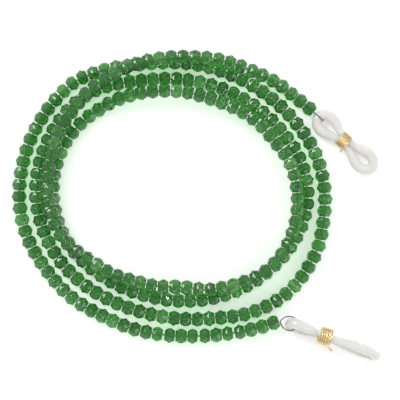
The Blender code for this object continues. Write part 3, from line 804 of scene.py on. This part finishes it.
# ---- rubber temple loops ----------------------------------------------------------------------
# distance from the rubber's tip at the wire eye, half width of the centre-line, cord radius
LOOP_A = (
    (1.30, 0.00, 1.30), (1.48, 0.85, 1.32), (2.10, 1.60, 1.36), (3.10, 2.05, 1.41),
    (4.20, 2.16, 1.42), (5.40, 2.00, 1.36), (6.50, 1.60, 1.22), (7.40, 1.18, 1.04),
    (8.20, 0.93, 0.87), (9.20, 0.92, 0.86), (10.4, 0.92, 0.86), (11.8, 0.92, 0.86),
    (12.9, 0.95, 0.89), (13.9, 1.18, 1.10), (15.0, 1.50, 1.34), (16.2, 1.96, 1.42),
    (17.5, 2.18, 1.40), (18.6, 2.02, 1.36), (19.6, 1.46, 1.33), (20.22, 0.76, 1.31),
    (20.38, 0.00, 1.30),
)
LOOP_B = (
    (1.38, 0.00, 1.38), (1.55, 0.90, 1.38), (2.15, 1.70, 1.38), (3.20, 2.20, 1.38),
    (4.40, 2.30, 1.36), (5.60, 2.08, 1.30), (6.70, 1.62, 1.16), (7.60, 1.17, 1.00),
    (8.30, 0.93, 0.87), (9.60, 0.92, 0.86), (11.2, 0.92, 0.86), (12.8, 0.92, 0.86),
    (14.2, 0.94, 0.88), (15.6, 1.18, 1.03), (17.1, 1.52, 1.18), (19.0, 1.95, 1.26),
    (21.2, 2.18, 1.28), (23.0, 2.02, 1.28), (24.3, 1.45, 1.27), (24.95, 0.76, 1.26),
    (25.14, 0.00, 1.26),
)
LOOP_AXES_A = LocalAxes(HINGE_A, yaw=math.radians(-43.7), pitch=math.radians(1.5))
LOOP_AXES_B = LocalAxes(HINGE_B + np.array([0.0, 0.0, 0.42]), yaw=math.radians(-20.4),
                        pitch=math.radians(1.2), roll=math.radians(75.0))
SQUARENESS = 0.94  # 1 is round; less is squarer


def squared(value, power):
    return np.sign(value) * np.abs(value) ** power


def rubber_loop(end, axes, table):
    made = smooth_ring(table, per_span=8)
    path = axes.place_flat(made[:, :2] - np.array([table[0][0], 0.0]))
    angles = corner_angles(28)
    profile = np.stack([squared(np.cos(angles), SQUARENESS),
                        squared(np.sin(angles), SQUARENESS)], 1)
    bar = closed_bar(path, made[:, 2, None, None] * profile, axes.z)
    mount(piece(f"moulded_rubber_loop_{end}", *bar, rubber), f"loop_{end}",
          f"rubber_loop_{end}")


# ---- coil springs -----------------------------------------------------------------------------
def coil_spring(end, axes, centre, turns, half_y, half_z, length, wire_r, free_end):
    """A squarish oval coil round a loop's waist.  centre is its middle along the loop;
    free_end lists points of the loose end, from the last point of the coil."""
    steps = 40
    total = round(turns * steps)
    points = []
    for i in range(total + 1):
        angle = 2 * math.pi * i / steps
        points.append((centre - length / 2 + length * i / total,
                       half_y * squared(math.cos(angle), 0.70),
                       half_z * squared(math.sin(angle), 0.70)))
    last = np.array(points[-1])
    ends = [last] + [last + np.array(offset) for offset in free_end]
    for start, stop in zip(ends[:-1], ends[1:]):
        points += [tuple(start + (stop - start) * part) for part in (0.25, 0.5, 0.75, 1.0)]
    points = np.array(points)
    for _ in range(3):  # ease the corners of the oval and the start of the free end
        points[1:-1] = 0.25 * points[:-2] + 0.5 * points[1:-1] + 0.25 * points[2:]
    bar = open_bar(axes.place(points), round_sections(wire_r, len(points)), dome=0.6)
    mount(piece(f"gold_coil_spring_{end}", *bar, gold), f"spring_{end}", f"coil_spring_{end}")


def build_springs():
    coil_spring("a", LOOP_AXES_A, centre=10.2 - LOOP_A[0][0], turns=4.33, half_y=2.10,
                half_z=1.24, length=2.36, wire_r=0.175,
                free_end=((0.05, -0.50, -0.08), (0.12, -1.05, -0.16), (0.22, -1.60, -0.30)))
    coil_spring("b", LOOP_AXES_B, centre=11.05 - LOOP_B[0][0], turns=5.33, half_y=2.20,
                half_z=2.25, length=3.20, wire_r=0.200,
                free_end=((0.30, -0.36, -0.02), (0.85, -0.55, 0.16), (1.45, -0.60, 0.34)))


# ---- floor, light and camera, in metres -------------------------------------------------------
CAMERA_HEIGHT = 0.62  # above the point it looks at
VIEW_WIDTH = 0.104  # seen at that distance
VIEW_CENTRE = (7.02, -1.30, 2.0)  # from the coil's centre, in mm


def build_floor():
    mesh = bpy.data.meshes.new("floor")
    bm = bmesh.new()
    bmesh.ops.create_circle(bm, cap_ends=True, radius=2.2, segments=96)
    bm.to_mesh(mesh)
    bm.free()
    mesh.materials.append(pale_floor())
    floor = bpy.data.objects.new("floor", mesh)
    bpy.context.scene.collection.objects.link(floor)
    floor.location = (0.0, 0.0, -0.00002)  # just under the lowest pieces


def build_world():
    """A grey sky, darker towards the zenith."""
    world = bpy.data.worlds.new("studio")
    bpy.context.scene.world = world
    world.use_nodes = True
    nodes, links = world.node_tree.nodes, world.node_tree.links
    nodes.clear()
    out = nodes.new("ShaderNodeOutputWorld")
    sky = nodes.new("ShaderNodeBackground")
    coord = nodes.new("ShaderNodeTexCoord")
    split = nodes.new("ShaderNodeSeparateXYZ")
    ramp = nodes.new("ShaderNodeValToRGB")
    links.new(coord.outputs["Generated"], split.inputs[0])
    links.new(split.outputs["Z"], ramp.inputs["Fac"])
    links.new(ramp.outputs["Color"], sky.inputs["Color"])
    links.new(sky.outputs[0], out.inputs["Surface"])
    horizon_and_zenith = ((0.0, 0.92), (1.0, 0.55))
    for element, (position, grey) in zip(ramp.color_ramp.elements, horizon_and_zenith):
        element.position, element.color = position, (grey, grey, grey, 1.0)
    sky.inputs["Strength"].default_value = 0.85


def disk_light(name, location, size, power):
    """A white disk aimed at the origin."""
    light = bpy.data.lights.new(name, "AREA")
    light.shape, light.size, light.energy = "DISK", size, power
    ob = bpy.data.objects.new(name, light)
    bpy.context.scene.collection.objects.link(ob)
    ob.location = location
    ob.rotation_mode = "QUATERNION"
    ob.rotation_quaternion = (-Vector(location)).to_track_quat("-Z", "Y")


def build_camera():
    data = bpy.data.cameras.new("camera")
    data.sensor_width = 36.0
    data.lens = data.sensor_width * CAMERA_HEIGHT / VIEW_WIDTH
    data.clip_start, data.clip_end = 0.01, 10.0
    camera = bpy.data.objects.new("camera", data)
    bpy.context.scene.collection.objects.link(camera)
    x, y, z = np.array(VIEW_CENTRE) + np.array([SHIFT[0], SHIFT[1], 0.0])
    camera.location = (x * MM, y * MM, z * MM + CAMERA_HEIGHT)
    bpy.context.scene.camera = camera


# ---- build ------------------------------------------------------------------------------------
build_beads()
build_cord()
crimp("a")
crimp("b")
build_eyes()
rubber_loop("a", LOOP_AXES_A, LOOP_A)
rubber_loop("b", LOOP_AXES_B, LOOP_B)
build_springs()
build_floor()
build_world()
disk_light("key", location=(-0.35, 0.38, 0.55), size=0.30, power=2.2)
disk_light("fill", location=(0.45, -0.25, 0.45), size=0.40, power=0.9)
disk_light("spark_one", location=(0.20, 0.30, 0.60), size=0.05, power=0.45)
build_camera()
bpy.context.scene.view_settings.view_transform = "Standard"
